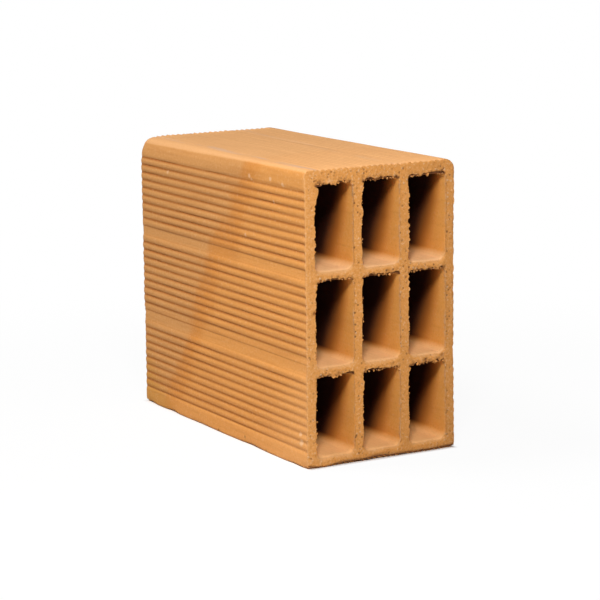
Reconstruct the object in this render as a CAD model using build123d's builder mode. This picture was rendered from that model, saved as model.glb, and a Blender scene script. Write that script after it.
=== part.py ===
"""Hollow clay block for partition walls: one extruded, wire-cut and fired piece with nine cells.

The block stands with its cells level. X runs across the cut end, Y along the cells, Z up, and the
origin is at the middle of the underside. Everything is in millimetres.
"""

import os

from build123d import *

# Overall size of the block
WIDTH = 111.0
HEIGHT = 190.0
LENGTH = 232.0

# Walls and webs round the cells
SIDE_WALL = 7.3
TOP_WALL = 9.3
BOTTOM_WALL = 7.4
UPRIGHT_WEB = 7.0
LEVEL_WEB = 6.4

# Cells: three rows of three, the lowest row a little squatter than the two above it
COLUMN_COUNT = 3
UPPER_ROW_COUNT = 2
LOWER_CELL_HEIGHT = 51.2
CELL_FLOOR_RADIUS = 4.5
CELL_ROOF_RADIUS = 2.5

# Long edges of the block, well rounded above and nearly sharp below
TOP_EDGE_RADIUS = 7.5
BOTTOM_EDGE_RADIUS = 1.5

# Round ribs along both sides, in groups counted from the bottom, with sunken bands between the groups
SIDE_RIB_RISE = 1.2
SIDE_RIB_COUNTS = (9, 10, 9)
SIDE_BOTTOM_BAND = 11.4
SIDE_LOWER_SUNKEN_BAND = 7.1
SIDE_UPPER_SUNKEN_BAND = 6.2
SIDE_TOP_BAND = 13.9

# Finer ribs along the top and the underside, with a sunken band over each upright web
BED_RIB_RISE = 0.8
BED_RIB_COUNTS = (6, 7, 6)
BED_EDGE_BAND = 11.3
BED_SUNKEN_BAND = 5.1

# Room that the walls and webs leave for each cell
cell_width = (WIDTH - 2 * SIDE_WALL - (COLUMN_COUNT - 1) * UPRIGHT_WEB) / COLUMN_COUNT
upper_rows_room = HEIGHT - TOP_WALL - BOTTOM_WALL - LOWER_CELL_HEIGHT - UPPER_ROW_COUNT * LEVEL_WEB
upper_cell_height = upper_rows_room / UPPER_ROW_COUNT
cell_heights = [LOWER_CELL_HEIGHT] + [upper_cell_height] * UPPER_ROW_COUNT

side_sunken_bands = (SIDE_LOWER_SUNKEN_BAND, SIDE_UPPER_SUNKEN_BAND)
bed_sunken_bands = (BED_SUNKEN_BAND, BED_SUNKEN_BAND)

to_right = Vector(1, 0)
upwards = Vector(0, 1)


def draw_flank(corner, along, inward, length, radii, bands, sunken_bands, rib_counts, rise):
    """Draws one side of the section from a corner and returns its first and last point.

    A plain band ends each side of it, the ribs stand in groups at the level of those bands, and
    the sunken bands between the groups lie at the bottom of the grooves.
    """
    pitch = (length - sum(bands) - sum(sunken_bands)) / sum(rib_counts)
    first = corner + along * radii[0]
    last = corner + along * (length - radii[1])

    shoulder = corner + along * (bands[0] - pitch / 2)
    groove = corner + along * bands[0] + inward * rise
    Line(first, shoulder)
    TangentArc(shoulder, groove, tangent=along)

    for count, sunken_band in zip(rib_counts, (*sunken_bands, 0)):
        for _ in range(count):
            next_groove = groove + along * pitch
            ThreePointArc(groove, (groove + next_groove) / 2 - inward * rise, next_groove)
            groove = next_groove
        if sunken_band:
            next_groove = groove + along * sunken_band
            Line(groove, next_groove)
            groove = next_groove

    shoulder = groove + along * (pitch / 2) - inward * rise
    TangentArc(shoulder, groove, tangent=-along)
    Line(shoulder, last)
    return first, last


def draw_cell(height):
    """One cell's section, standing on its floor: wide floor corners and tighter roof corners."""
    with BuildSketch() as cell:
        Rectangle(cell_width, height, align=(Align.CENTER, Align.MIN))
        fillet(cell.vertices().group_by(Axis.Y)[0], radius=CELL_FLOOR_RADIUS)
        fillet(cell.vertices().group_by(Axis.Y)[-1], radius=CELL_ROOF_RADIUS)
    return cell.sketch


with BuildPart() as clay_block:
    with BuildSketch(Plane.XZ):
        # Outline of the section, run round from the left end of the underside
        with BuildLine():
            left, right = -WIDTH / 2, WIDTH / 2
            edge_bands = (BED_EDGE_BAND, BED_EDGE_BAND)
            underside = draw_flank(
                Vector(left, 0), to_right, upwards, WIDTH,
                (BOTTOM_EDGE_RADIUS, BOTTOM_EDGE_RADIUS),
                edge_bands, bed_sunken_bands, BED_RIB_COUNTS, BED_RIB_RISE,
            )
            right_side = draw_flank(
                Vector(right, 0), upwards, -to_right, HEIGHT,
                (BOTTOM_EDGE_RADIUS, TOP_EDGE_RADIUS),
                (SIDE_BOTTOM_BAND, SIDE_TOP_BAND), side_sunken_bands, SIDE_RIB_COUNTS, SIDE_RIB_RISE,
            )
            top = draw_flank(
                Vector(right, HEIGHT), -to_right, -upwards, WIDTH,
                (TOP_EDGE_RADIUS, TOP_EDGE_RADIUS),
                edge_bands, bed_sunken_bands, BED_RIB_COUNTS, BED_RIB_RISE,
            )
            left_side = draw_flank(
                Vector(left, HEIGHT), -upwards, to_right, HEIGHT,
                (TOP_EDGE_RADIUS, BOTTOM_EDGE_RADIUS),
                (SIDE_TOP_BAND, SIDE_BOTTOM_BAND), side_sunken_bands[::-1], SIDE_RIB_COUNTS[::-1],
                SIDE_RIB_RISE,
            )
            TangentArc(underside[1], right_side[0], tangent=to_right)
            TangentArc(right_side[1], top[0], tangent=upwards)
            TangentArc(top[1], left_side[0], tangent=-to_right)
            TangentArc(left_side[1], underside[0], tangent=-upwards)
        make_face()

        # Cells, row by row from the lowest floor up
        floor = BOTTOM_WALL
        for cell_height in cell_heights:
            cell = draw_cell(cell_height)
            with Locations((0, floor)):
                with GridLocations(cell_width + UPRIGHT_WEB, 0, COLUMN_COUNT, 1):
                    add(cell, mode=Mode.SUBTRACT)
            floor += cell_height + LEVEL_WEB
    extrude(amount=LENGTH / 2, both=True)

clay_block.part.label = "clay_block"

os.makedirs("parts", exist_ok=True)
export_step(clay_block.part, "parts/clay_block.step")
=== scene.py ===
"""Dresses the hollow clay block: ribbed skin, torn wire-cut ends, fired-clay finish and a plain studio.

X runs across the cut end, Y along the cells and Z up. Everything is in metres.
"""

import math
import random

import bmesh
import bpy
from bpy.props import FloatProperty, FloatVectorProperty, IntProperty, IntVectorProperty, PointerProperty
from mathutils import Euler, Matrix, Vector, noise


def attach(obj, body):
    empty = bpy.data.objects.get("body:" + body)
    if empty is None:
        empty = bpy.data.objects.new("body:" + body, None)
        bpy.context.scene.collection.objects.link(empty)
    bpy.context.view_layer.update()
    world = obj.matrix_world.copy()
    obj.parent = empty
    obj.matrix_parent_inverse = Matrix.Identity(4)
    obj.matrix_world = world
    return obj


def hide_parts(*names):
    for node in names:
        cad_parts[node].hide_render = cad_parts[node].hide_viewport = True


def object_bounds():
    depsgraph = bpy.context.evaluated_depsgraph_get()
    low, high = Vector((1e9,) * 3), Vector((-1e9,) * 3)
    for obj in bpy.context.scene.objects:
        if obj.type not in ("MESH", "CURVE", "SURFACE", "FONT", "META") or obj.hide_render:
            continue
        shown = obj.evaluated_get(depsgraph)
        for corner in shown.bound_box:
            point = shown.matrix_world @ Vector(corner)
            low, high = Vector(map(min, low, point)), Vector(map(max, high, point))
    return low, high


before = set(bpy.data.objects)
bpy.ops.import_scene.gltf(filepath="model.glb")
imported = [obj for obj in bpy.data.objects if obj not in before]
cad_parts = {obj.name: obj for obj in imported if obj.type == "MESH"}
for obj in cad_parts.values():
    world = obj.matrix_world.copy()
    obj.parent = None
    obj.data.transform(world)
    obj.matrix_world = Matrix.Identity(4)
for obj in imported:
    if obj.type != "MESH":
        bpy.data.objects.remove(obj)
cad_low, cad_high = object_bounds()

bl_info = {
    "name": "Hollow Clay Block",
    "version": (1, 0, 0),
    "blender": (4, 5, 0),
    "location": "3D View > Sidebar > Clay Block",
    "description": "Builds a ribbed, wire-cut hollow clay block and the studio it stands in",
    "category": "Add Mesh",
}


# Lengths under this count as nothing
HAIR = 1e-6

# Rings close to each cut end, by their distance from it
END_RINGS = (0.0004, 0.0010, 0.0018, 0.0030, 0.0048, 0.0075)

# Noise behind each kind of mark: its number, and the size of its bumps across, along and up the block
NOISES = {
    "creep across": (0, (0.120, 0.100, 0.080)),
    "creep up": (1, (0.060, 0.090, 0.120)),
    "cell wall": (2, (0.007, 0.060, 0.007)),
    "rib wear": (3, (0.020, 0.050, 0.016)),
    "skin drag": (4, (0.0035, 0.040, 0.0035)),
    "wire wave": (5, (0.011, 0.050, 0.030)),
    "cut grain": (6, (0.0016, 0.010, 0.0030)),
    "fine grain": (7, (0.0011, 0.0011, 0.0011)),
    "torn runs": (8, (0.010, 0.010, 0.010)),
    "torn lumps": (9, (0.0028, 0.0028, 0.0028)),
    "chips": (13, (0.006, 0.006, 0.006)),
    "fine chips": (14, (0.0022, 0.0022, 0.0022)),
    "smudges": (15, (0.002, 0.002, 0.002)),
    "worn foot": (16, (0.012, 0.012, 0.012)),
    "foot knocks": (17, (0.060, 0.017, 0.060)),
    "floor lips": (18, (0.007, 0.007, 0.007)),
}
# Steps that set one kind of noise apart from the next
NOISE_STEPS = (17.3, 5.9, 11.7)
# Spacing of the torn crumbs along an edge, and of the pits and grains on a cut end
TORN_STEP = 0.00125
PIT_STEP = 0.0044
# Radius of a pit and of a grain as shares of that spacing, and the numbers that choose where each one is
PIT_REACH_SHARE = 0.18
GRIT_REACH_SHARE = 0.20
PIT_CHOICE = 9.1
GRIT_CHOICE = 5.3

# How far along the block each mark reaches from the cut end
SMEAR_REACH = 0.0080
REAR_TEAR_REACH = 0.0050
CREST_BURR_REACH = 0.0015
REAR_WEAR_REACH = 0.0040
SIDE_LIP_REACH = 0.0011
TORN_REACH = 0.0009
# The painted shade under the torn roof edges
TORN_SHADE_REACH = 0.0028
LUMP_REACH = 0.0030
CUT_REACH = 0.0005
# The painted shadow in the cells: depth over which it grows full, and over which its rise with height sets in
SHADE_REACH = 0.0550
SHADE_RISE_REACH = 0.0060

# How far each mark reaches from its edge within the section
CRISP_REACH = 0.0038
SLUMP_REACH = 0.0085
KNOCK_REACH = 0.0030
DRAGGED_REACH = 0.0014
CRUMBLY_REACH = 0.0050
BITE_REACH = 0.0035

# Waves and wear are less below the first height; side grooves are fuller below the second, past a depth
STEADY_HEIGHT = 0.050
FILLED_HEIGHT = 0.060
FILLED_DEPTH = 0.0005
# Heights between which the left side's most worn rib lies
FADED_RIB = (0.0672, 0.0726)
# Half the width over which the top has burrs at the far end
BURR_HALF_WIDTH = 0.0445
# How far inside the box the middle of the upper left edge is taken to lie
CORNER_INSET = 0.0022
# Height over a cell's floor from which the clay right of it is dragged, and the slant of the wire's way
DRAG_START = 0.0030
DRAG_SLANT = 0.35
# Lip on the right edges of the mouths, and what is rubbed off the outer edges of the cut ends
RIGHT_LIP = 0.0005
RUBBED_OFF = 0.0002
# Where crumbs hang: clear of a cell's floor and roof along its wall, and over a share of its roof
CRUMB_FLOOR_GAP = 0.0060
CRUMB_ROOF_GAP = 0.0030
CRUMB_ROOF_SHARE = 0.92

# Shares: where the crisp corner ends and the slumped one starts along the block, how deep into the side
# wall the ribs are felt, and how much painted shade a groove gets on the top and beside a sunken band
CRISP_END_SHARE = 0.6
SLUMP_START_SHARE = 0.3
RIB_FADE_SHARE = 0.7
BED_GROOVE_SHARE = 0.2
OVER_BAND_SHARE = 0.7
UNDER_BAND_SHARE = 0.4
# Passes that even out the grid of the cut ends, and the share of the way that each one moves a point
SMOOTH_PASSES = 6
SMOOTH_SHARE = 0.5

# Marks on the near cut end: x and z, reach, height out of the face, and tone, which is pale if above nothing
CUT_MARKS = (
    (-0.0378, 0.1818, 0.0015, 0.0007, 0.9),
    (0.0482, 0.1655, 0.0014, 0.0007, 0.8),
    (-0.0487, 0.0997, 0.0014, -0.0018, -0.9),
    (-0.0474, 0.0943, 0.0012, 0.0008, 0.8),
    (0.0297, 0.0618, 0.0016, 0.0010, 0.3),
    (0.0340, 0.0610, 0.0012, -0.0014, -0.8),
    (0.0400, 0.0622, 0.0015, 0.0009, 0.4),
    (0.0466, 0.0632, 0.0015, -0.0012, -0.7),
)
# Lumps of clay that narrow the near mouths: x and z, reach and push into the cell
LUMPS = (
    (-0.0482, 0.1765, 0.0056, 0.0034), (-0.0440, 0.1807, 0.0035, 0.0010), (-0.0137, 0.1780, 0.0030, 0.0012),
    (-0.0482, 0.1160, 0.0035, 0.0014), (-0.0137, 0.1165, 0.0030, 0.0012), (0.0207, 0.0560, 0.0030, 0.0012),
)
# Streaks of salts along the top: x at the middle of the block, slant along it, and strength
STREAKS = ((-0.0447, 0.036, 0.75), (0.0166, 0.069, 0.40))
# Scuffs and pits on the left side: y and z and radius
SCUFFS = (
    (-0.0449, 0.1792, 0.0016), (-0.0470, 0.1775, 0.0012), (-0.0727, 0.1802, 0.0015),
    (-0.0881, 0.1781, 0.0016), (0.0734, 0.1694, 0.0014), (-0.0762, 0.1660, 0.0012),
    (-0.0382, 0.1400, 0.0013), (-0.1082, 0.0161, 0.0022), (-0.1070, 0.0215, 0.0016),
)
PITS = (
    (-0.0335, 0.0043, 0.0012), (-0.0410, 0.0228, 0.0010), (-0.0033, 0.0992, 0.0010),
    (0.0664, 0.0943, 0.0010), (0.0710, 0.0010, 0.0016), (0.0040, 0.0008, 0.0016), (-0.0620, 0.0008, 0.0014),
)

# Edges sharper than these stay sharp when a piece is shaded
BLOCK_SHARP = math.radians(58)
CRUMB_SHARP = math.radians(60)

# The floor: half its width, where it turns even from the middle outwards, and where the contact shadow ends
FLOOR_HALF_WIDTH = 12.0
EVEN_FLOOR = (0.20, 0.55)
CONTACT_SHADOW = (-0.0005, 0.0025)
# How far the camera sees
VIEW_END = 100.0


class ClayBlockSection(bpy.types.PropertyGroup):
    """Walls, cells and ribs of the extruded section."""

    side_wall: FloatProperty(
        name="Side wall", description="Thickness of the two long walls", default=0.0073, unit="LENGTH")
    top_wall: FloatProperty(
        name="Top wall", description="Thickness over the upper cells", default=0.0093, unit="LENGTH")
    bottom_wall: FloatProperty(
        name="Bottom wall", description="Thickness under the lower cells", default=0.0074, unit="LENGTH")
    upright_web: FloatProperty(
        name="Upright web", description="Thickness between the columns", default=0.0070, unit="LENGTH")
    level_web: FloatProperty(
        name="Level web", description="Thickness between the rows", default=0.0064, unit="LENGTH")
    lower_cell: FloatProperty(
        name="Lower cell", description="Height of the lowest row of cells", default=0.0512, unit="LENGTH")
    floor_radius: FloatProperty(
        name="Floor radius", description="Rounding of each cell's floor corners", default=0.0045,
        unit="LENGTH")
    roof_radius: FloatProperty(
        name="Roof radius", description="Rounding of each cell's roof corners", default=0.0025, unit="LENGTH")
    top_edge: FloatProperty(
        name="Top edge", description="Rounding of the upper long edges", default=0.0075, unit="LENGTH")
    bottom_edge: FloatProperty(
        name="Bottom edge", description="Rounding of the lower long edges", default=0.0015, unit="LENGTH")
    side_rise: FloatProperty(
        name="Side rib rise", description="Height of the side ribs", default=0.0012, unit="LENGTH")
    side_bands: FloatVectorProperty(
        name="Side bands", description="Plain bands at the bottom and the top of each side", size=2,
        default=(0.0114, 0.0139), unit="LENGTH")
    side_sunken: FloatVectorProperty(
        name="Side sunken bands", description="Sunken bands between the groups of side ribs", size=2,
        default=(0.0071, 0.0062), unit="LENGTH")
    side_counts: IntVectorProperty(
        name="Side ribs", description="Ribs in each group, from the bottom", size=3, default=(9, 10, 9))
    bed_rise: FloatProperty(
        name="Bed rib rise", description="Height of the ribs above and below", default=0.0008, unit="LENGTH")
    bed_band: FloatProperty(
        name="Bed edge band", description="Plain band beside each long edge", default=0.0113, unit="LENGTH")
    bed_sunken: FloatProperty(
        name="Bed sunken band", description="Sunken band over each upright web", default=0.0051,
        unit="LENGTH")
    bed_counts: IntVectorProperty(
        name="Bed ribs", description="Ribs in each group, from the left", size=3, default=(6, 7, 6))
    grid_step: FloatProperty(
        name="Grid step", description="Widest spacing of the lines across the cut end", default=0.00107,
        unit="LENGTH")
    ring_step: FloatProperty(
        name="Ring step", description="Widest spacing of the rings along the block", default=0.0118,
        unit="LENGTH")


class ClayBlockWear(bpy.types.PropertyGroup):
    """Marks that the die, the cutting wire, the kiln and handling have left."""

    seed: IntProperty(name="Seed", description="Start of every random choice", default=7)
    creep_across: FloatProperty(
        name="Creep across", description="Sideways bend of the block in drying", default=0.00030,
        unit="LENGTH")
    creep_up: FloatProperty(
        name="Creep up", description="Upward bend of the block in drying", default=0.00020, unit="LENGTH")
    skin_wave: FloatProperty(
        name="Skin wave", description="Drag marks along the outer walls", default=0.00016, unit="LENGTH")
    top_smear: FloatProperty(
        name="Top smear", description="Share of the top's grooves that smeared clay fills away from the ends",
        default=0.75, subtype="FACTOR", min=0.0, max=1.0)
    lip_fill: FloatProperty(
        name="Lip fill", description="Share of the side grooves that the wire's lip closes at the cut ends",
        default=0.8, subtype="FACTOR", min=0.0, max=1.0)
    rib_wear: FloatProperty(
        name="Rib wear", description="Most that a rib's crest is worn down", default=0.00045, unit="LENGTH")
    groove_fill: FloatProperty(
        name="Groove fill", description="Share by which the bottoms of the side grooves are filled",
        default=0.20, subtype="FACTOR", min=0.0, max=1.0)
    cell_wave: FloatProperty(
        name="Cell wave", description="Unevenness of the cell walls", default=0.00030, unit="LENGTH")
    cut_wave: FloatProperty(
        name="Cut wave", description="Slow waves left by the wire", default=0.00030, unit="LENGTH")
    rear_tear: FloatProperty(
        name="Rear tear", description="Share by which the wire has deepened the top's grooves at the far end",
        default=1.0, subtype="FACTOR", min=0.0, max=1.0)
    cut_grain: FloatProperty(
        name="Cut grain", description="Grain that the wire has dragged up", default=0.00018, unit="LENGTH")
    pit_depth: FloatProperty(
        name="Pit depth", description="Depth of the pits in the cut ends", default=0.0009, unit="LENGTH")
    roof_burr: FloatProperty(
        name="Roof burr", description="Height of the torn roof edges, from a bite to a tooth", default=0.0035,
        unit="LENGTH")
    roof_bite: FloatProperty(
        name="Roof bite", description="Share of the roof burr that is bitten out of the web", default=0.42,
        subtype="FACTOR", min=0.0, max=1.0)
    wall_burr: FloatProperty(
        name="Wall burr", description="Raggedness of a cell's upright edges", default=0.0022, unit="LENGTH")
    mouth_round: FloatProperty(
        name="Mouth rounding", description="Usual rounding of a cell's floor edge", default=0.0034,
        unit="LENGTH")
    arris_chip: FloatProperty(
        name="Arris chip", description="Deepest chip in the outer edges of the cut ends", default=0.0012,
        unit="LENGTH")
    foot_round: FloatProperty(
        name="Foot rounding", description="Usual rounding of the worn edge under the cut ends",
        default=0.0028, unit="LENGTH")
    foot_knock: FloatProperty(
        name="Foot knock", description="Deepest knock in the long foot edges", default=0.0022, unit="LENGTH")
    front_crisp: FloatProperty(
        name="Crisp front corner", description="How far the upper left edge stands out in front",
        default=0.0016, unit="LENGTH")
    rear_slump: FloatProperty(
        name="Slumped rear corner", description="How far the upper left edge sinks at the back",
        default=0.0028, unit="LENGTH")
    crumb_size: FloatProperty(
        name="Crumb size", description="Radius of the largest torn crumb", default=0.0008, unit="LENGTH")
    crumbs_per_roof: IntProperty(
        name="Crumbs per roof", description="Torn crumbs along each roof edge", default=15)
    crumbs_per_wall: IntProperty(
        name="Crumbs per wall", description="Torn crumbs along each left edge", default=9)


class ClayBlockColours(bpy.types.PropertyGroup):
    """Colours of the fired clay, and of the painted light and shade laid over it."""

    orange: FloatVectorProperty(
        name="Orange clay", description="Body colour of the hotter part", subtype="COLOR", size=4,
        default=(0.700, 0.300, 0.072, 1.0))
    pink: FloatVectorProperty(
        name="Pink clay", description="Body colour of the cooler part", subtype="COLOR", size=4,
        default=(0.620, 0.286, 0.086, 1.0))
    flash: FloatVectorProperty(
        name="Flash", description="Deeper orange along the border of the two", subtype="COLOR", size=4,
        default=(0.600, 0.215, 0.032, 1.0))
    ochre: FloatVectorProperty(
        name="Ochre flash", description="Kiln flash at the lower rear corner", subtype="COLOR", size=4,
        default=(0.585, 0.262, 0.047, 1.0))
    # Dust, with painted light, makes the upward faces paler and brighter
    dust_and_top_light: FloatVectorProperty(
        name="Dust", description="Dusty clay and painted light on the top", subtype="COLOR", size=4,
        default=(0.860, 0.455, 0.192, 1.0))
    bloom: FloatVectorProperty(
        name="Bloom", description="Pale salts in streaks along the top", subtype="COLOR", size=4,
        default=(0.700, 0.430, 0.270, 1.0))
    # Painted shade in the grooves between ribs; the same colour gives dark specks and drag marks
    groove: FloatVectorProperty(
        name="Groove", description="Painted shade in the grooves between ribs, also dark specks and drag marks", subtype="COLOR", size=4,
        default=(0.385, 0.130, 0.022, 1.0))
    inside: FloatVectorProperty(
        name="Cell wall", description="Clay inside the cells", subtype="COLOR", size=4,
        default=(0.840, 0.372, 0.078, 1.0))
    # Smeared clay with a painted sheen on the cell floors
    floor: FloatVectorProperty(
        name="Cell floor", description="Paler, smeared clay with a painted sheen on the cell floors", subtype="COLOR", size=4,
        default=(0.930, 0.550, 0.265, 1.0))
    # Painted reddish shade on the way into the cells
    painted_cell_shade: FloatVectorProperty(
        name="Cell shade", description="Painted reddish shade on the way into the cells", subtype="COLOR", size=4,
        default=(0.680, 0.215, 0.025, 1.0))
    # Painted shadow deep in the cells
    painted_cell_shadow: FloatVectorProperty(
        name="Painted cell shadow", description="Painted shadow deep in the cells", subtype="COLOR", size=4,
        default=(0.040, 0.008, 0.002, 1.0))
    # Pale scuffs and grains, and painted highlights on the cell lips
    pale: FloatVectorProperty(
        name="Pale grain", description="Scuffs, pale grains and painted highlights on lips", subtype="COLOR", size=4,
        default=(0.820, 0.560, 0.330, 1.0))
    # Dark pits and marks, and painted shade along roof edges, the foot and the near end's right side
    pit: FloatVectorProperty(
        name="Pit", description="Bottoms of the pits, and painted shade along roof edges and the foot", subtype="COLOR", size=4,
        default=(0.150, 0.052, 0.016, 1.0))


class ClayBlockStudio(bpy.types.PropertyGroup):
    """Camera and lamps."""

    target: FloatVectorProperty(
        name="Target", description="Point in the middle of the picture", subtype="XYZ", unit="LENGTH",
        default=(0.00674, 0.0, 0.08483))
    distance: FloatProperty(
        name="Distance", description="From the camera to the target", default=1.5341, unit="LENGTH")
    azimuth: FloatProperty(
        name="Azimuth", description="Turn of the camera round the block", default=math.radians(-29.71),
        subtype="ANGLE")
    elevation: FloatProperty(
        name="Elevation", description="Rise of the camera over the block", default=math.radians(10.50),
        subtype="ANGLE")
    roll: FloatProperty(
        name="Roll", description="Tilt of the picture", default=math.radians(-0.69), subtype="ANGLE")
    lens: FloatProperty(
        name="Lens", description="Focal length in millimetres on a 36 mm sensor", default=135.24)
    key_place: FloatVectorProperty(
        name="Key lamp place", description="Lamp above the left of the cut end", subtype="XYZ", unit="LENGTH",
        default=(-0.420, -0.756, 0.765))
    key_size: FloatProperty(
        name="Key lamp size", description="Width of the lamp's square", default=0.22, unit="LENGTH")
    key_watts: FloatProperty(name="Key lamp power", description="Power in watts", default=9.7)
    side_place: FloatVectorProperty(
        name="Side lamp place", description="Softer lamp high over the ribbed face", subtype="XYZ",
        unit="LENGTH", default=(-1.275, 0.714, 2.186))
    side_size: FloatProperty(
        name="Side lamp size", description="Width of the lamp's square", default=0.90, unit="LENGTH")
    side_watts: FloatProperty(name="Side lamp power", description="Power in watts", default=37.5)
    world_level: FloatProperty(
        name="World", description="Even light from all round", default=0.045)


class ClayBlockSettings(bpy.types.PropertyGroup):
    """Everything that the panel shows."""

    section: PointerProperty(type=ClayBlockSection, name="Section", description="Walls, cells and ribs")
    wear: PointerProperty(type=ClayBlockWear, name="Wear", description="Marks of making and use")
    colours: PointerProperty(type=ClayBlockColours, name="Colours", description="Colours of the clay")
    studio: PointerProperty(type=ClayBlockStudio, name="Studio", description="Camera and lamps")


class Flank:
    """One ribbed side of the section, measured along it from its first edge."""

    def __init__(self, length, bands, sunken, counts, rise):
        self.rise = rise
        self.pitch = (length - sum(bands) - sum(sunken)) / sum(counts)
        self.radius = (rise ** 2 + (self.pitch / 2) ** 2) / (2 * rise)
        self.groups = []
        start = bands[0]
        for count, gap in zip(counts, (*sunken, 0.0)):
            end = start + count * self.pitch
            self.groups.append((start, end))
            start = end + gap

    def marks(self):
        """Grooves, crests and shoulders, where lines of the grid have to run."""
        half = self.pitch / 2
        marks = [self.groups[0][0] - half, self.groups[-1][1] + half]
        for start, end in self.groups:
            marks += [start + half * step for step in range(round((end - start) / half) + 1)]
        return marks

    def recess(self, along):
        """Depth behind the crests: none on the plain bands, the full rise in grooves and sunken bands."""
        half = self.pitch / 2
        first, last = self.groups[0][0], self.groups[-1][1]
        off_crest = max(half - max(first - along, along - last), 0.0)
        if first < along < last:
            inside = [start for start, end in self.groups if start <= along <= end]
            if not inside:
                return self.rise
            off_crest = (along - inside[0]) % self.pitch - half
        return self.radius - math.sqrt(self.radius ** 2 - off_crest ** 2)

    def valley(self, along):
        """How far down a groove a point lies, from 0 on crests and bands to 1, less beside a sunken band; it
        sets the painted shade in the grooves.
        """
        share = 0.0
        for number, (start, end) in enumerate(self.groups):
            if start - HAIR <= along <= end + HAIR:
                share = 1.0
                if number > 0 and along - start < self.pitch / 4:
                    share = OVER_BAND_SHARE
                if number < len(self.groups) - 1 and end - along < self.pitch / 4:
                    share = UNDER_BAND_SHARE
        return share * self.recess(along) / self.rise


class Cell:
    """One cell's opening in the section."""

    def __init__(self, middle, half, floor, roof):
        self.middle, self.half, self.floor, self.roof = middle, half, floor, roof

    def gap(self, x, z):
        """Distance from the cell's edge to a point in the clay, nothing inside the cell."""
        beside = max(abs(x - self.middle) - self.half, 0.0)
        above = max(self.floor - z, z - self.roof, 0.0)
        return math.hypot(beside, above)

    def below(self, x, z, radius):
        """Distance out from the cell's rounded floor edge, and how squarely the point lies under it."""
        beside = max(abs(x - self.middle) - self.half + radius, 0.0)
        under = max(self.floor + radius - z, 0.0)
        if z > self.roof or under == 0:
            return 1.0, 0.0
        return max(math.hypot(beside, under) - radius, 0.0), (under / math.hypot(beside, under)) ** 2


def list_cells(section):
    """Three rows of three cells, from the lowest floor up."""
    width = cad_high.x - cad_low.x
    height = cad_high.z - cad_low.z
    columns = (-1, 0, 1)
    half = (width - 2 * section.side_wall - 2 * section.upright_web) / (2 * len(columns))
    upper = (height - section.top_wall - section.bottom_wall - section.lower_cell - 2 * section.level_web) / 2
    cells = []
    floor = section.bottom_wall
    for tall in (section.lower_cell, upper, upper):
        for column in columns:
            cells.append(Cell(column * (2 * half + section.upright_web), half, floor, floor + tall))
        floor += tall + section.level_web
    return cells


def grid_lines(firm, loose, step):
    """Lines through every firm mark and every loose one not crowding them, evened out to the step."""
    marks = sorted(set(round(mark, 6) for mark in firm))
    for mark in loose:
        if min(abs(mark - other) for other in marks) > step / 4:
            marks.append(mark)
    marks.sort()
    lines = marks[:1]
    for low, high in zip(marks, marks[1:]):
        count = max(1, math.ceil((high - low) / step - 0.01))
        lines += [low + (high - low) * (part + 1) / count for part in range(count)]
    return lines


def round_cell(vert, cell, section, way):
    """Moves a vertex on a cell's edge onto the nearest corner's rounding; gives its way into the cell."""
    side = math.copysign(1, vert.co.x - cell.middle)
    from_floor = vert.co.z - cell.floor < cell.roof - vert.co.z
    radius = section.floor_radius if from_floor else section.roof_radius
    up = 1 if from_floor else -1
    level = cell.floor if from_floor else cell.roof
    beside = cell.half - abs(vert.co.x - cell.middle)
    above = abs(vert.co.z - level)
    if max(beside, above) >= radius:
        return way
    turn = math.radians(45) * (1 - max(beside, above) / radius)
    near, far = radius * (1 - math.cos(turn)), radius * (1 - math.sin(turn))
    if beside > above:
        near, far = far, near
    vert.co.x = cell.middle + side * (cell.half - near)
    vert.co.z = level + up * far
    centre = Vector((cell.middle + side * (cell.half - radius), vert.co.y, level + up * radius))
    return (centre - vert.co).normalized()


def round_outer(vert, corner, radius):
    """Bends the square at an outer corner into a quarter disc."""
    side, up = math.copysign(1, corner[0]), math.copysign(1, corner[1] - (cad_low.z + cad_high.z) / 2)
    across = (side * (vert.co.x - corner[0]) + radius) / radius
    along = (up * (vert.co.z - corner[1]) + radius) / radius
    if across <= 0 or along <= 0:
        return
    bent_across = across * math.sqrt(1 - along ** 2 / 2)
    bent_along = along * math.sqrt(1 - across ** 2 / 2)
    vert.co.x = corner[0] + side * radius * (bent_across - 1)
    vert.co.z = corner[1] + up * radius * (bent_along - 1)


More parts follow.
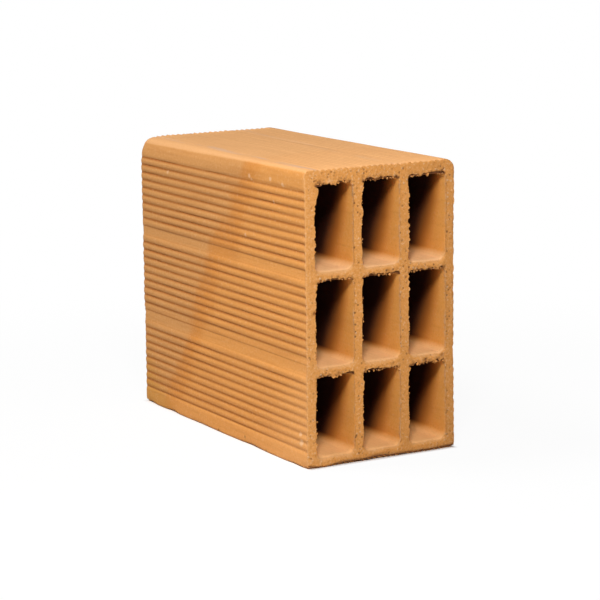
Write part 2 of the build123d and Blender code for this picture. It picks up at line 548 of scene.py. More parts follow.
def lay_section(bm, section, cells):
    """Lays the near cut end as a fine grid with open cells, ribbed flanks and rounded corners."""
    left, right, low, high = cad_low.x, cad_high.x, cad_low.z, cad_high.z
    side = Flank(high - low, section.side_bands, section.side_sunken, section.side_counts, section.side_rise)
    bed_bands, bed_sunken = [section.bed_band] * 2, [section.bed_sunken] * 2
    bed = Flank(right - left, bed_bands, bed_sunken, section.bed_counts, section.bed_rise)

    x_firm, z_firm = [left, right], [low, high]
    x_loose = [left + mark for mark in bed.marks()]
    z_loose = [low + mark for mark in side.marks()]
    for cell in cells:
        cell_left, cell_right = cell.middle - cell.half, cell.middle + cell.half
        x_firm += [cell_left, cell_right]
        z_firm += [cell.floor, cell.roof]
        x_loose += [cell_left + section.floor_radius, cell_right - section.floor_radius]
        z_loose += [cell.floor + section.floor_radius, cell.roof - section.roof_radius]
    x_lines = grid_lines(x_firm, x_loose, section.grid_step)
    z_lines = grid_lines(z_firm, z_loose, section.grid_step)

    bmesh.ops.create_grid(bm, x_segments=len(x_lines) - 1, y_segments=len(z_lines) - 1, size=1)
    bm.verts.index_update()
    for vert in bm.verts:
        row, column = divmod(vert.index, len(x_lines))
        vert.co = (x_lines[column], cad_low.y, z_lines[row])

    hollow = []
    for face in bm.faces:
        middle = face.calc_center_median()
        if any(cell.gap(middle.x, middle.z) == 0 for cell in cells):
            hollow.append(face)
    bmesh.ops.delete(bm, geom=hollow, context="FACES")

    open_way = bm.verts.layers.float_vector.new("open_way")
    in_cell = bm.verts.layers.float.new("cell")
    groove = bm.verts.layers.float.new("groove")
    sunk = bm.verts.layers.float.new("sunk")
    rib_reach = RIB_FADE_SHARE * section.side_wall
    for vert in bm.verts:
        x, z = vert.co.x, vert.co.z
        outer = min(x - left, right - x, z - low, high - z) < HAIR
        if outer:
            way = Vector((0, 0, 0))
            way.x = (right - x < HAIR) - (x - left < HAIR)
            way.z = (high - z < HAIR) - (z - low < HAIR)
            vert[open_way] = way.normalized()
            # The groove share sets the painted shade in the grooves
            vert[groove] = BED_GROOVE_SHARE * bed.valley(x - left) if way.z else side.valley(z - low)
            vert[sunk] = bed.recess(x - left) if way.z else side.recess(z - low)
        side_depth = min(x - left, right - x)
        bed_depth = min(z - low, high - z)
        side_sink = side.recess(z - low) * max(0.0, 1 - side_depth / rib_reach)
        bed_sink = bed.recess(x - left) * max(0.0, 1 - bed_depth / rib_reach)
        vert.co.x -= math.copysign(side_sink, x)
        vert.co.z -= math.copysign(bed_sink, z - (low + high) / 2)
        if vert.is_boundary and not outer:
            cell = min(cells, key=lambda one: one.gap(x, z))
            way = Vector((0, 0, 0))
            way.x = (abs(x - cell.middle + cell.half) < HAIR) - (abs(x - cell.middle - cell.half) < HAIR)
            way.z = (abs(z - cell.floor) < HAIR) - (abs(z - cell.roof) < HAIR)
            vert[open_way] = round_cell(vert, cell, section, way.normalized())
            vert[in_cell] = 1.0
        for corner_x in (left, right):
            round_outer(vert, (corner_x, high), section.top_edge)
            round_outer(vert, (corner_x, low), section.bottom_edge)

    inner = [vert for vert in bm.verts if not vert.is_boundary]
    for _ in range(SMOOTH_PASSES):
        bmesh.ops.smooth_vert(bm, verts=inner, factor=SMOOTH_SHARE, use_axis_x=True, use_axis_z=True)


def pull_through(bm, section):
    """Draws the section along the block in rings, close together at the ends, and closes the far end."""
    length = cad_high.y - cad_low.y
    marks = [0.0, *END_RINGS, *(length - ring for ring in END_RINGS), length]
    rings = grid_lines(marks, [], section.ring_step)

    near_end = bm.faces[:]
    rim = [edge for edge in bm.edges if edge.is_boundary]
    far_end = bmesh.ops.duplicate(bm, geom=near_end)["geom"]
    far_verts = [part for part in far_end if isinstance(part, bmesh.types.BMVert)]
    bmesh.ops.translate(bm, verts=far_verts, vec=(0, length, 0))
    for start, end in zip(rings, rings[1:]):
        made = bmesh.ops.extrude_edge_only(bm, edges=rim)["geom"]
        moved = [part for part in made if isinstance(part, bmesh.types.BMVert)]
        bmesh.ops.translate(bm, verts=moved, vec=(0, end - start, 0))
        rim = [part for part in made if isinstance(part, bmesh.types.BMEdge) and part.is_boundary]
    bmesh.ops.remove_doubles(bm, verts=bm.verts[:], dist=HAIR)
    bmesh.ops.recalc_face_normals(bm, faces=bm.faces[:])


def ripple(place, kind, wear):
    """Smooth noise of one kind, between about -1 and 1."""
    number, (across, along, up) = NOISES[kind]
    apart = Vector([(wear.seed + number) * step for step in NOISE_STEPS])
    return noise.noise(Vector((place.x / across, place.y / along, place.z / up)) + apart)


def fade(distance, reach):
    """Share of a mark that is left at a distance from where it starts."""
    return math.exp(-distance / reach)


def spot(distance, reach):
    """Share of a round mark that is left at a distance from its middle."""
    return math.exp(-(distance / reach) ** 2)


def steadiness(at):
    """Share of the waves and wear that a point takes, less near the ground, where the block stands flat."""
    return min(1.0, at.z / STEADY_HEIGHT)


def round_over(distance, radius):
    """How far an edge's rounding sinks a point at a distance from the edge, and slides it along its face."""
    turn = math.radians(45) * max(0.0, 1 - distance / radius)
    slide = radius * (1 - math.sin(turn)) - distance if HAIR < distance < radius else 0.0
    return radius * (1 - math.cos(turn)), slide


def torn_edge(place, wear):
    """Torn clay between 0 and 1: single crumbs in runs, with calmer stretches between them."""
    start = wear.seed + NOISES["torn runs"][0]
    run = min(1.0, max(0.0, 0.55 + 0.9 * ripple(place, "torn runs", wear)))
    crumb = 0.5 + 0.5 * noise.cell(place / TORN_STEP + Vector((start, start, start)))
    lump = max(0.0, 1 - 2.2 * abs(ripple(place, "torn lumps", wear)))
    return run * (0.6 * crumb + 0.4 * lump)


def foot_radius(at, outward, wear):
    """Rounding of the worn edge under a cut end, which comes and goes across it."""
    return wear.foot_round * (1 + 0.7 * ripple(Vector((at.x, outward, 0)), "worn foot", wear))


def lip_radius(at, outward, wear):
    """Rounding of a cell's floor edge, which the wire has dragged out unevenly."""
    return wear.mouth_round * (1 + 0.55 * ripple(Vector((at.x, outward, 0.2 * at.z)), "floor lips", wear))


def bend_corner(at, wear):
    """The upper left edge is crisp in front and slumped at the back."""
    inward = Vector((1, 0, -1)).normalized()
    off_edge = math.hypot(at.x - cad_low.x - CORNER_INSET, cad_high.z - at.z - CORNER_INSET)
    along = (at.y - cad_low.y) / (cad_high.y - cad_low.y)
    crisp = max(0.0, 1 - along / CRISP_END_SHARE) * spot(off_edge, CRISP_REACH)
    slumped = max(0.0, (along - SLUMP_START_SHARE) / (1 - SLUMP_START_SHARE)) * spot(off_edge, SLUMP_REACH)
    return inward * (wear.rear_slump * slumped - wear.front_crisp * crisp)


def knock_foot(at, wear):
    """Knocks along the long foot edges, which lift the clay and set it back."""
    inward = Vector((-math.copysign(1, at.x), 0, 1)).normalized()
    off_edge = math.hypot(cad_high.x - abs(at.x), at.z - cad_low.z)
    knock = max(0.0, 0.10 + ripple(at, "foot knocks", wear))
    return inward * wear.foot_knock * knock * spot(off_edge, KNOCK_REACH)


def weather_top(at, sunk, ridged, outward, reach, settings):
    """How far the top is raised by smears, and torn into teeth by the wire at the far end."""
    wear, rise = settings.wear, settings.section.bed_rise
    push = wear.top_smear * sunk * (1 - fade(reach, SMEAR_REACH) if ridged else 1.0)
    if outward > 0 and ridged:
        push -= wear.rear_tear * math.sqrt(rise * sunk) * fade(reach, REAR_TEAR_REACH)
    elif outward > 0 and abs(at.x) < BURR_HALF_WIDTH:
        push += 0.5 * wear.rear_tear * max(0.0, rise - sunk) * fade(reach, CREST_BURR_REACH)
    return push


def weather_side(at, leftward, sunk, ridged, outward, reach, settings):
    """How far worn crests lower a side, and filled grooves and the wire's lip across them raise it."""
    wear = settings.wear
    crest = max(0.0, 1 - sunk / settings.section.side_rise)
    worn = max(0.0, 0.3 + ripple(at, "rib wear", wear)) * steadiness(at)
    if leftward and FADED_RIB[0] < at.z < FADED_RIB[1]:
        worn += 1.5
    push = 0.0
    if ridged:
        low_down = max(0.0, 1 - at.z / FILLED_HEIGHT)
        push += (wear.groove_fill + 0.3 * low_down) * max(0.0, sunk - FILLED_DEPTH)
    if outward < 0:
        push += wear.lip_fill * (1.0 if leftward else 0.6) * sunk * spot(reach, SIDE_LIP_REACH)
    else:
        worn += 1.3 * fade(reach, REAR_WEAR_REACH)
    return push - wear.rib_wear * crest * worn


def weather_skin(at, way, sunk, ridged, outward, reach, settings):
    """Drag marks along the skin, and the wear of the top and the sides."""
    wear = settings.wear
    push = wear.skin_wave * ripple(at, "skin drag", wear) * steadiness(at)
    if way.z > 0.5:
        push += weather_top(at, sunk, ridged, outward, reach, settings)
    if abs(way.x) > 0.5:
        push += weather_side(at, way.x < 0, sunk, ridged, outward, reach, settings)
    return way * push


def pit_or_grit(at, tear, wear):
    """A pit or a grain in some places of a cut end, more where it is torn: its height and its tone."""
    gaps, spots = noise.voronoi(at / PIT_STEP)
    if noise.cell(spots[0] * PIT_CHOICE) > 0.50 - 0.8 * tear and gaps[0] < PIT_REACH_SHARE:
        pit = 1 - gaps[0] / PIT_REACH_SHARE
        return -wear.pit_depth * math.sqrt(pit), -1.1 * pit
    if noise.cell(spots[0] * GRIT_CHOICE) > 0.65 - 0.6 * tear and gaps[0] < GRIT_REACH_SHARE:
        grit = 1 - gaps[0] / GRIT_REACH_SHARE
        return 0.5 * wear.pit_depth * grit, 0.7 * grit
    return 0.0, 0.0


def near_end_marks(at):
    """The near end's own marks, and its slow change from pale on the left to dull, partly painted light
    falloff from the lamp on the left and partly clay tone: height and tone.
    """
    lift = 0.0
    tone = 0.06 - 0.20 * (at.x - cad_low.x) / (cad_high.x - cad_low.x)
    for x, z, reach, height, shade in CUT_MARKS:
        mark = spot(math.hypot(at.x - x, at.z - z), reach)
        lift += height * mark
        tone += shade * mark
    return lift, tone


def weather_cut(at, way, outward, cells, settings):
    """Wire waves, grain, pits, soft lips and bitten roof edges, with painted highlights on the floor lips and
    painted shade along the foot and the near end's right; gives the shift, the tone and the tear.
    """
    wear = settings.wear
    over = [cell for cell in cells if abs(at.x - cell.middle) < cell.half]
    above = min((at.z - cell.roof for cell in over if at.z >= cell.roof - HAIR), default=1.0)
    crumbly = max(0.0, 1 - above / CRUMBLY_REACH)
    beside = [at.x - cell.middle - cell.half for cell in cells if cell.floor + DRAG_START < at.z < cell.roof]
    dragged = max((spot(off - DRAGGED_REACH, DRAGGED_REACH) for off in beside if off > -HAIR), default=0.0)
    tear = max(crumbly, 0.8 * dragged)
    foot, lip = foot_radius(at, outward, wear), lip_radius(at, outward, wear)

    slant = Vector((at.x + DRAG_SLANT * at.z, at.y, at.z - DRAG_SLANT * at.x))
    grain = ripple(slant, "cut grain", wear) + 0.6 * ripple(at, "fine grain", wear)
    lift, tone = pit_or_grit(at, tear, wear)
    lift += wear.cut_wave * ripple(slant, "wire wave", wear) + wear.cut_grain * grain * (1 + 2 * crumbly)
    # Smudges over the roofs, and a band of painted shade along the foot
    tone -= 1.5 * crumbly * max(0.0, ripple(at, "smudges", wear)) + 1.2 * max(0.0, 1 - at.z / foot)
    if outward < 0:
        marks_lift, marks_tone = near_end_marks(at)
        lift += marks_lift
        tone += marks_tone

    sink, slide = round_over(at.z if way.z > -0.5 else 0.0, foot)
    shift = Vector((0, outward * (lift - sink), slide))
    if HAIR < above < BITE_REACH:
        torn = torn_edge(Vector((at.x, outward, at.z - above)), wear)
        shift.z -= wear.roof_burr * (torn - wear.roof_bite) * (1 - above / BITE_REACH)
    for cell in cells:
        below, squarely = cell.below(at.x, at.z, settings.section.floor_radius)
        if below < lip:
            sink, slide = round_over(below, lip)
            shift += Vector((0, -outward * sink, -slide)) * squarely
            # A painted highlight on the rounded floor lip
            tone += 0.45 * squarely * (1 - below / lip)
    return shift, tone, tear


def weather_mouth(at, way, outward, reach, wear):
    """Teeth and bites along the roof edge, ragged left edges, a lip on the right and a soft floor edge, with
    painted shade under the roof edge and a painted highlight on the right lip.
    """
    root = fade(reach, TORN_REACH)
    torn = torn_edge(Vector((at.x, outward, at.z)), wear)
    level = max(0.0, way.z) ** 2
    upright = root * (1 - level)
    sink, slide = round_over(reach, lip_radius(at, outward, wear))
    shift = (way * -sink - Vector((0, outward * slide, 0))) * level
    for x, z, size, push in LUMPS:
        away = math.hypot(at.x - x, at.z - z)
        if outward < 0 and away < 2 * size:
            shift += way * push * spot(away, size) * fade(reach, LUMP_REACH)
    if way.z < -0.5:
        shift += way * wear.roof_burr * (torn - wear.roof_bite) * root
        shift.y += outward * 0.35 * wear.roof_burr * (torn - 0.25) * root
        # Painted shade along the torn roof edge
        return shift, -1.7 * fade(reach, TORN_SHADE_REACH) * max(0.0, 0.80 - torn)
    if way.x > 0.0:
        shift += way * wear.wall_burr * (torn - 0.40) * upright
        return shift, 0.5 * (torn - 0.45) * upright
    shift += way * 0.5 * wear.wall_burr * (torn - 0.30) * upright
    shift.y += outward * RIGHT_LIP * upright
    # A painted highlight on the right lip
    return shift, min(1.0, 1.6 * torn) * upright


def weather_arris(at, way, outward, reach, wear):
    """Chipped and rubbed outer edges of the cut ends, well rounded along the foot."""
    if way.z < -0.5:
        sink, slide = round_over(reach, foot_radius(at, outward, wear))
        return Vector((0, -outward * slide, sink)), 0.0
    root = fade(reach, TORN_REACH)
    chip = ripple(at, "chips", wear) + 0.6 * ripple(at, "fine chips", wear)
    loss = RUBBED_OFF + wear.arris_chip * max(0.0, chip - 0.2)
    shift = way * -loss * root
    if reach < HAIR:
        shift.y -= outward * loss
    return shift, 0.5 * root * min(1.0, loss / (2 * RUBBED_OFF))


def cell_shade(at, reach, cells):
    """How far a point lies from the light that falls into its cell: 0 at the mouth, 1 in the depth."""
    height = at.z - max(cell.floor for cell in cells if cell.floor < at.z + HAIR)
    return min(1.0, (reach + 0.5 * height * (1 - fade(reach, SHADE_RISE_REACH))) / SHADE_REACH)


def weather_body(bm, settings, cells):
    """Gives the drawn block the marks of the die, the wire, the kiln and handling, and the tones and depths
    that place painted light and shade.
    """
    wear = settings.wear
    open_way = bm.verts.layers.float_vector["open_way"]
    in_cell = bm.verts.layers.float["cell"]
    groove = bm.verts.layers.float["groove"]
    sunk = bm.verts.layers.float["sunk"]
    cut = bm.verts.layers.float.new("cut")
    tone = bm.verts.layers.float.new("tone")
    tear = bm.verts.layers.float.new("tear")
    deep = bm.verts.layers.float.new("deep")
    upward = bm.verts.layers.float.new("upward")

    for vert in bm.verts:
        at = vert.co.copy()
        way = vert[open_way].copy()
        outward = math.copysign(1, at.y)
        reach = cad_high.y - abs(at.y)

        # The whole block has crept a little in drying
        across, up = ripple(at, "creep across", wear), ripple(at, "creep up", wear)
        shift = Vector((wear.creep_across * across, 0, wear.creep_up * up)) * steadiness(at)
        shift += bend_corner(at, wear) + knock_foot(at, wear)

        if reach < HAIR:
            marks, shade, vert[tear] = weather_cut(at, way, outward, cells, settings)
            shift += marks
            vert[tone] += shade
        if vert[in_cell]:
            shift += way * wear.cell_wave * ripple(at, "cell wall", wear)
            mouth, shade = weather_mouth(at, way, outward, reach, wear)
            shift += mouth
            vert[tone] += shade
            # Where painted shade and shadow fall in the cell
            vert[deep] = cell_shade(at, reach, cells)
        elif way.length:
            shift += weather_skin(at, way, vert[sunk], vert[groove] > 0, outward, reach, settings)
            arris, shade = weather_arris(at, way, outward, reach, wear)
            shift += arris
            vert[tone] += shade

        vert[cut] = fade(reach, CUT_REACH)
        vert[upward] = max(0.0, way.z)
        vert.co = at + shift
        vert.co.z = max(vert.co.z, cad_low.z)

    bm.verts.layers.float_vector.remove(open_way)
    bm.verts.layers.float.remove(sunk)


def add_crumbs(bm, wear, cells):
    """Torn crumbs that the wire left hanging along the roof and the left edges of the cells."""
    chance = random.Random(wear.seed)
    noise.seed_set(wear.seed)
    cut = bm.verts.layers.float.new("cut")
    tone = bm.verts.layers.float.new("tone")
    for end in (cad_low.y, cad_high.y):
        outward = math.copysign(1, end)
        for cell in cells:
            places = []
            for _ in range(wear.crumbs_per_roof):
                x = cell.middle + chance.uniform(-CRUMB_ROOF_SHARE, CRUMB_ROOF_SHARE) * cell.half
                places.append((Vector((x, end, cell.roof)), Vector((0, 0, -1)), 1.0))
            for _ in range(wear.crumbs_per_wall):
                z = chance.uniform(cell.floor + CRUMB_FLOOR_GAP, cell.roof - CRUMB_ROOF_GAP)
                places.append((Vector((cell.middle - cell.half, end, z)), Vector((1, 0, 0)), 0.7))
            for place, way, share in places:
                size = wear.crumb_size * share * chance.uniform(0.35, 1.0)
                place = place + way * size * chance.uniform(-0.9, 0.5)
                place.y -= outward * size * chance.uniform(-0.2, 0.8)
                turn = Euler([chance.uniform(0, math.tau) for _ in range(3)]).to_matrix().to_4x4()
                wide, flat = chance.uniform(0.7, 1.5), chance.uniform(0.6, 1.0)
                squash = Matrix.Diagonal((size * wide, size, size * flat, 1))
                made = bmesh.ops.create_icosphere(
                    bm, subdivisions=2, radius=1, matrix=Matrix.Translation(place) @ turn @ squash)
                # Mostly darker crumbs: darker torn clay and painted shade
                shade = chance.uniform(-0.9, 0.2)
                for vert in made["verts"]:
                    vert.co += 0.4 * size * noise.noise_vector(vert.co / (0.8 * size) + place * 900)
                    vert[cut] = 1.0
                    vert[tone] = shade


def add_node(tree, kind, inputs=None, **settings):
    """Adds a shader node, sets it up and links or fills its inputs."""
    node = tree.nodes.new(kind)
    for name, value in settings.items():
        setattr(node, name, value)
    for name, value in (inputs or {}).items():
        if isinstance(value, bpy.types.NodeSocket):
            tree.links.new(value, node.inputs[name])
        else:
            node.inputs[name].default_value = value
    return node


def new_material(name):
    """An empty node material with its output."""
    material = bpy.data.materials.new(name)
    material.use_nodes = True
    material.node_tree.nodes.clear()
    return material, material.node_tree, add_node(material.node_tree, "ShaderNodeOutputMaterial")


def math_node(tree, operation, *values, clamp=False):
    """The result of one piece of arithmetic."""
    return add_node(
        tree, "ShaderNodeMath", dict(enumerate(values)), operation=operation, use_clamp=clamp).outputs[0]


def step_node(tree, value, low, high):
    """A soft step of the value, from 0 at low to 1 at high."""
    return add_node(
        tree, "ShaderNodeMapRange", {"Value": value, "From Min": low, "From Max": high},
        interpolation_type="SMOOTHSTEP").outputs["Result"]


def blend_node(tree, share, below, above):
    """One colour laid over another by a share."""
    return add_node(
        tree, "ShaderNodeMix", {"Factor": share, 6: below, 7: above}, data_type="RGBA").outputs[2]


def noise_node(tree, place, scale, detail=2.0, rough=0.5):
    """Plain noise from 0 to 1."""
    return add_node(
        tree, "ShaderNodeTexNoise",
        {"Vector": place, "Scale": scale, "Detail": detail, "Roughness": rough}).outputs["Fac"]


def stretch_node(tree, place, scale):
    """The place stretched by axis."""
    return add_node(tree, "ShaderNodeMapping", {"Vector": place, "Scale": scale}).outputs["Vector"]


def attribute_node(tree, name):
    """One of the mesh's own numbers."""
    return add_node(tree, "ShaderNodeAttribute", attribute_name=name).outputs["Fac"]


class ClayCoat:
    """The clay's colour as it is laid on, with the places and the mesh's own numbers that it follows."""

    def __init__(self, tree, colour):
        self.tree = tree
        self.colour = tuple(colour)
        self.place = add_node(tree, "ShaderNodeTexCoord").outputs["Object"]
        self.axes = add_node(tree, "ShaderNodeSeparateXYZ", {"Vector": self.place}).outputs
        self.cut, self.groove = attribute_node(tree, "cut"), attribute_node(tree, "groove")
        # deep places the painted shade and shadow in the cells
        self.cell, self.deep = attribute_node(tree, "cell"), attribute_node(tree, "deep")
        self.tone, self.tear = attribute_node(tree, "tone"), attribute_node(tree, "tear")
        self.upward = attribute_node(tree, "upward")
        self.skin = math_node(tree, "SUBTRACT", 1.0, self.cut)
        self.cell_wall = math_node(tree, "MULTIPLY", self.cell, self.skin)
        self.cloud = noise_node(tree, self.place, 22.0, 4.0)
        self.fine = noise_node(tree, self.place, 640.0, 4.0, 0.7)
        self.streak = noise_node(tree, stretch_node(tree, self.place, (420.0, 18.0, 420.0)), 1.0, 3.0)

    def lay(self, colour, *shares):
        """Lays a colour over what is there, by the product of the shares."""
        share = shares[0]
        for other in shares[1:]:
            share = math_node(self.tree, "MULTIPLY", share, other)
        if not isinstance(colour, bpy.types.NodeSocket):
            colour = tuple(colour)
        self.colour = blend_node(self.tree, share, self.colour, colour)


def lay_kiln_flash(coat, colours):
    """The near part is fired hotter than the upper rear, with a slanting border; the lower rear is ochre."""
    tree, axes = coat.tree, coat.axes
    slope = math_node(tree, "MULTIPLY_ADD", axes["Y"], 0.84, math_node(tree, "MULTIPLY", axes["Z"], 0.545))
    border = math_node(tree, "MULTIPLY_ADD", coat.cloud, 0.05, slope)
    coat.lay(colours.pink, step_node(tree, border, 0.085, 0.101))
    rim_start, rim_end = step_node(tree, border, 0.070, 0.090), step_node(tree, border, 0.105, 0.096)
    coat.lay(colours.flash, rim_start, rim_end, 0.55)

    low_rear = math_node(tree, "MULTIPLY_ADD", axes["Z"], -1.4, axes["Y"])
    ochre = step_node(tree, math_node(tree, "MULTIPLY_ADD", coat.cloud, 0.05, low_rear), 0.065, 0.120)
    coat.lay(colours.ochre, ochre, 0.85)


def lay_dust_and_salts(coat, colours):
    """Dusty clay and painted light all over the top, and streaks of salts along it."""
    tree, axes = coat.tree, coat.axes
    coat.lay(colours.dust_and_top_light, coat.upward, 0.75, coat.skin)
    patches = noise_node(tree, stretch_node(tree, coat.place, (160.0, 26.0, 90.0)), 1.0, 3.0)
    patch = step_node(tree, patches, 0.42, 0.62)
    for x, slant, strength in STREAKS:
        line = math_node(tree, "MULTIPLY_ADD", axes["Y"], -slant, axes["X"])
        away = math_node(tree, "ABSOLUTE", math_node(tree, "SUBTRACT", line, x))
        streak = step_node(tree, away, 0.0045, 0.0010)
        coat.lay(colours.bloom, streak, patch, coat.upward, strength, coat.skin)


def lay_grooves(coat, colours):
    """Painted shade in the grooves, most at the rear and least low down in front, where some of the top's
    dusty colour lies.
    """
    tree, axes = coat.tree, coat.axes
    uneven = noise_node(tree, stretch_node(tree, coat.place, (0.0, 6.0, 190.0)), 1.0, 1.0)
    low_front = step_node(tree, math_node(tree, "MULTIPLY_ADD", axes["Z"], 0.9, axes["Y"]), -0.02, -0.10)
    rearward = math_node(tree, "ADD", axes["Y"], 0.53)
    often = math_node(tree, "MULTIPLY_ADD", low_front, -0.45, rearward)
    often = math_node(tree, "MULTIPLY_ADD", uneven, 0.9, often)
    dark = math_node(tree, "MULTIPLY", step_node(tree, coat.groove, 0.05, 0.95), often, clamp=True)
    coat.lay(colours.groove, dark, coat.skin)
    coat.lay(colours.dust_and_top_light, low_front, 0.20, coat.skin)


def lay_cell_walls(coat, colours):
    """Cleaner clay inside the cells, paler on their floors with a painted sheen, and most so in the upper
    rows.
    """
    tree = coat.tree
    paler = math_node(tree, "MULTIPLY_ADD", coat.axes["Z"], 3.2, 0.55)
    paler = math_node(tree, "MULTIPLY", coat.upward, paler)
    coat.lay(blend_node(tree, paler, tuple(colours.inside), tuple(colours.floor)), coat.cell_wall)


def lay_mottling(coat, colours):
    """Pale and dark specks everywhere, most on the cut ends, and drag marks along the skin."""
    tree = coat.tree
    speck = math_node(tree, "MULTIPLY_ADD", coat.cut, 0.26, 0.20)
    coat.lay(colours.pale, step_node(tree, coat.fine, 0.52, 0.70), speck)
    coat.lay(colours.groove, step_node(tree, coat.fine, 0.48, 0.30), speck)
    calm = math_node(tree, "MAXIMUM", coat.upward, coat.cell)
    drag = math_node(tree, "MULTIPLY_ADD", calm, -0.13, 0.22)
    coat.lay(colours.groove, step_node(tree, coat.streak, 0.45, 0.75), drag, coat.skin)


def lay_cell_depth(coat, colours):
    """Painted shade and shadow on the way into the cells: first redder, then dark, and less so on their
    floors.
    """
    tree = coat.tree
    off_floor = math_node(tree, "MULTIPLY_ADD", coat.upward, -0.8, 1.0)
    for start, end, shade in ((0.25, 0.65, colours.painted_cell_shade), (0.34, 0.85, colours.painted_cell_shadow)):
        coat.lay(shade, step_node(tree, coat.deep, start, end), coat.cell_wall, off_floor)


def lay_pocks(coat, colours):
    """Pocks and grit on the cut ends, most where they are torn; gives their relief."""
    tree = coat.tree
    pock = add_node(tree, "ShaderNodeTexVoronoi", {"Vector": coat.place, "Scale": 420.0}).outputs
    kind = add_node(tree, "ShaderNodeSeparateColor", {"Color": pock["Color"]}).outputs["Red"]
    cluster = step_node(tree, noise_node(tree, coat.place, 75.0, 2.0), 0.42, 0.62)
    often = math_node(tree, "MULTIPLY_ADD", coat.tear, 0.9, math_node(tree, "MULTIPLY", cluster, 0.7))
    dot = math_node(tree, "MULTIPLY", step_node(tree, pock["Distance"], 0.40, 0.17), coat.cut)
    dot = math_node(tree, "MULTIPLY", dot, often, clamp=True)
    pock_mark = math_node(tree, "MULTIPLY", dot, step_node(tree, kind, 0.57, 0.63))
    grit_mark = math_node(tree, "MULTIPLY", dot, step_node(tree, kind, 0.28, 0.22))
    coat.lay(colours.pale, grit_mark, 0.60)
    coat.lay(colours.pit, pock_mark, 0.72)
    return math_node(tree, "SUBTRACT", grit_mark, pock_mark)


def lay_tones(coat, colours):
    """The mesh's own tones, pale above nothing and dark below it: real marks, and also painted highlights on
    the cell lips and painted shade along roof edges, the foot and the near end's right side.
    """
    tree = coat.tree
    light_up = math_node(tree, "MAXIMUM", coat.tone, 0.0)
    light_down = math_node(tree, "MAXIMUM", math_node(tree, "MULTIPLY", coat.tone, -1.0), 0.0)
    coat.lay(colours.pale, math_node(tree, "MULTIPLY", light_up, 0.55, clamp=True))
    coat.lay(colours.pit, math_node(tree, "MINIMUM", light_down, 1.0))


def lay_side_marks(coat, colours):
    """Scuffs and pits on the left side, with ragged rims."""
    tree = coat.tree
    for marks, shade in ((SCUFFS, colours.pale), (PITS, colours.pit)):
        spread = 0.0
        for y, z, radius in marks:
            away = add_node(
                tree, "ShaderNodeVectorMath", {0: coat.place, 1: (cad_low.x, y, z)},
                operation="DISTANCE").outputs["Value"]
            ragged = math_node(tree, "MULTIPLY_ADD", coat.fine, 0.004, away)
            mark = step_node(tree, ragged, radius + 0.0025, radius + 0.0012)
            spread = math_node(tree, "MAXIMUM", spread, mark)
        coat.lay(shade, spread, 0.5)


def clay_material(colours):
    """Matte fired clay: kiln flash, salts, worn ribs, grainy cut ends and smoother cell walls, with painted
    shade in the grooves and cells and painted light on the top and the cell floors.
    """
    material, tree, output = new_material("fired_clay_look")
    coat = ClayCoat(tree, colours.orange)
    lay_kiln_flash(coat, colours)
    lay_dust_and_salts(coat, colours)
    lay_grooves(coat, colours)
    lay_cell_walls(coat, colours)
    lay_mottling(coat, colours)
    lay_cell_depth(coat, colours)
    pocks = lay_pocks(coat, colours)
    lay_tones(coat, colours)
    lay_side_marks(coat, colours)

    relief = math_node(tree, "MULTIPLY_ADD", pocks, 0.5, coat.fine)
    roughness = math_node(tree, "MULTIPLY_ADD", coat.cut, 0.60, 0.25)
    rough_bump = add_node(
        tree, "ShaderNodeBump", {"Strength": roughness, "Distance": 0.0008, "Height": relief})
    drag_bump = add_node(
        tree, "ShaderNodeBump",
        {"Strength": 0.15, "Distance": 0.0006, "Height": coat.streak, "Normal": rough_bump.outputs["Normal"]})
    shader = add_node(
        tree, "ShaderNodeBsdfPrincipled",
        {"Base Color": coat.colour, "Roughness": 0.86, "Specular IOR Level": 0.25,
         "Normal": drag_bump.outputs["Normal"]})
    tree.links.new(shader.outputs["BSDF"], output.inputs["Surface"])
    return material


def floor_material():
    """White to the camera but for the contact shadow, and dull to the block, which keeps its own shading."""
    material, tree, output = new_material("studio_white")
    place = add_node(tree, "ShaderNodeTexCoord").outputs["Object"]
    away = add_node(tree, "ShaderNodeVectorMath", {0: place}, operation="LENGTH").outputs["Value"]
    even = add_node(
        tree, "ShaderNodeMapRange",
        {"Value": away, "From Min": EVEN_FLOOR[0], "From Max": EVEN_FLOOR[1], "To Min": 0.94},
        interpolation_type="SMOOTHSTEP").outputs["Result"]
    axes = add_node(tree, "ShaderNodeSeparateXYZ", {"Vector": place}).outputs
    beside = math_node(tree, "SUBTRACT", math_node(tree, "ABSOLUTE", axes["X"]), cad_high.x)
    beyond = math_node(tree, "SUBTRACT", math_node(tree, "ABSOLUTE", axes["Y"]), cad_high.y)
    clear = step_node(tree, math_node(tree, "MAXIMUM", beside, beyond), *CONTACT_SHADOW)
    plain = add_node(tree, "ShaderNodeBsdfDiffuse", {"Color": (0.90, 0.90, 0.90, 1.0)})
    glow = add_node(tree, "ShaderNodeEmission", {"Color": (1.0, 1.0, 1.0, 1.0), "Strength": 1.0})
    white = add_node(
        tree, "ShaderNodeMixShader",
        {0: math_node(tree, "MULTIPLY", even, clear), 1: plain.outputs["BSDF"], 2: glow.outputs["Emission"]})
    rays = add_node(tree, "ShaderNodeLightPath").outputs
    seen = math_node(tree, "MAXIMUM", rays["Is Camera Ray"], rays["Is Glossy Ray"])
    seen = math_node(tree, "MAXIMUM", seen, rays["Is Transmission Ray"])
    dull = add_node(tree, "ShaderNodeBsdfDiffuse", {"Color": (0.78, 0.78, 0.78, 1.0)})
    mix = add_node(
        tree, "ShaderNodeMixShader", {0: seen, 1: dull.outputs["BSDF"], 2: white.outputs["Shader"]})
    tree.links.new(mix.outputs["Shader"], output.inputs["Surface"])
    return material


def shared_clay(colours):
    """The clay material, made the first time it is asked for."""
    return bpy.data.materials.get("fired_clay_look") or clay_material(colours)


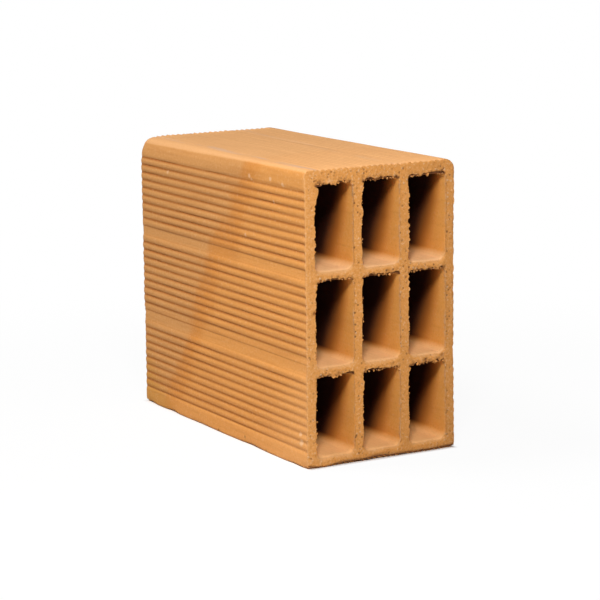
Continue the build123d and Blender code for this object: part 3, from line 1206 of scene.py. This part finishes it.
def finish_piece(bm, name, material, sharp):
    """Turns a finished bmesh into a smooth-shaded object at the origin."""
    mesh = bpy.data.meshes.new(name)
    bm.to_mesh(mesh)
    bm.free()
    mesh.shade_smooth()
    mesh.set_sharp_from_angle(angle=sharp)
    mesh.materials.append(material)
    piece = bpy.data.objects.new(name, mesh)
    bpy.context.scene.collection.objects.link(piece)
    return piece


class CLAYBLOCK_OT_fire_body(bpy.types.Operator):
    """Build the block itself in place of its CAD solid"""

    bl_idname = "clay_block.fire_body"
    bl_label = "Fire Block"

    def execute(self, context):
        settings = context.scene.clay_block
        cells = list_cells(settings.section)
        bm = bmesh.new()
        lay_section(bm, settings.section, cells)
        pull_through(bm, settings.section)
        weather_body(bm, settings, cells)
        bmesh.ops.recalc_face_normals(bm, faces=bm.faces[:])
        block = finish_piece(bm, "fired_block", shared_clay(settings.colours), BLOCK_SHARP)
        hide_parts("clay_block")
        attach(block, "root")
        return {"FINISHED"}


class CLAYBLOCK_OT_tear_crumbs(bpy.types.Operator):
    """Leave torn crumbs along the cell mouths"""

    bl_idname = "clay_block.tear_crumbs"
    bl_label = "Tear Crumbs"

    def execute(self, context):
        settings = context.scene.clay_block
        bm = bmesh.new()
        add_crumbs(bm, settings.wear, list_cells(settings.section))
        crumbs = finish_piece(bm, "torn_crumbs", shared_clay(settings.colours), CRUMB_SHARP)
        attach(crumbs, "root")
        return {"FINISHED"}


class CLAYBLOCK_OT_set_studio(bpy.types.Operator):
    """Set the floor, the lamps and the camera"""

    bl_idname = "clay_block.set_studio"
    bl_label = "Set Studio"

    def execute(self, context):
        scene = context.scene
        studio = scene.clay_block.studio

        bm = bmesh.new()
        bmesh.ops.create_grid(bm, x_segments=1, y_segments=1, size=FLOOR_HALF_WIDTH)
        floor = finish_piece(bm, "studio_floor", floor_material(), BLOCK_SHARP)

        world = bpy.data.worlds.new("studio_world")
        world.use_nodes = True
        sky = world.node_tree.nodes["Background"]
        rays = add_node(world.node_tree, "ShaderNodeLightPath").outputs
        level = add_node(
            world.node_tree, "ShaderNodeMapRange",
            {"Value": rays["Is Camera Ray"], "To Min": studio.world_level, "To Max": 1.0}).outputs["Result"]
        world.node_tree.links.new(level, sky.inputs["Strength"])
        sky.inputs["Color"].default_value = (1.0, 1.0, 1.0, 1.0)
        scene.world = world

        middle = Vector((0, 0, (cad_low.z + cad_high.z) / 2))
        lamps = (
            ("key_lamp", studio.key_place, studio.key_size, studio.key_watts),
            ("side_lamp", studio.side_place, studio.side_size, studio.side_watts),
        )
        for name, place, size, watts in lamps:
            lamp = bpy.data.lights.new(name, "AREA")
            lamp.size = size
            lamp.energy = watts
            stand = bpy.data.objects.new(name, lamp)
            stand.location = place
            stand.rotation_euler = (middle - Vector(place)).to_track_quat("-Z", "Y").to_euler()
            scene.collection.objects.link(stand)

        back = Vector((
            math.sin(studio.azimuth) * math.cos(studio.elevation),
            -math.cos(studio.azimuth) * math.cos(studio.elevation),
            math.sin(studio.elevation),
        ))
        right = Vector((math.cos(studio.azimuth), math.sin(studio.azimuth), 0))
        turn = Matrix((right, back.cross(right), back)).transposed().to_4x4()
        camera = bpy.data.cameras.new("photo_camera")
        camera.lens = studio.lens
        camera.clip_end = VIEW_END
        stand = bpy.data.objects.new("photo_camera", camera)
        stand.matrix_world = (
            Matrix.Translation(Vector(studio.target) + back * studio.distance)
            @ turn @ Matrix.Rotation(studio.roll, 4, "Z"))
        scene.collection.objects.link(stand)
        scene.camera = stand
        scene.view_settings.view_transform = "Standard"
        return {"FINISHED"}


class CLAYBLOCK_PT_panel(bpy.types.Panel):
    """The block's settings and the steps that build it"""

    bl_idname = "CLAYBLOCK_PT_panel"
    bl_label = "Hollow Clay Block"
    bl_space_type = "VIEW_3D"
    bl_region_type = "UI"
    bl_category = "Clay Block"

    def draw(self, context):
        settings = context.scene.clay_block
        for group in (settings.section, settings.wear, settings.colours, settings.studio):
            box = self.layout.box()
            for name in group.__annotations__:
                box.prop(group, name)
        for operator in operators:
            self.layout.operator(operator.bl_idname)


operators = (CLAYBLOCK_OT_fire_body, CLAYBLOCK_OT_tear_crumbs, CLAYBLOCK_OT_set_studio)
classes = (
    ClayBlockSection, ClayBlockWear, ClayBlockColours, ClayBlockStudio, ClayBlockSettings,
    *operators, CLAYBLOCK_PT_panel,
)


def register():
    for one in classes:
        bpy.utils.register_class(one)
    bpy.types.Scene.clay_block = PointerProperty(type=ClayBlockSettings)


def unregister():
    del bpy.types.Scene.clay_block
    for one in reversed(classes):
        bpy.utils.unregister_class(one)


def main():
    register()
    bpy.ops.clay_block.fire_body()
    bpy.ops.clay_block.tear_crumbs()
    bpy.ops.clay_block.set_studio()


if __name__ == "__main__":
    main()
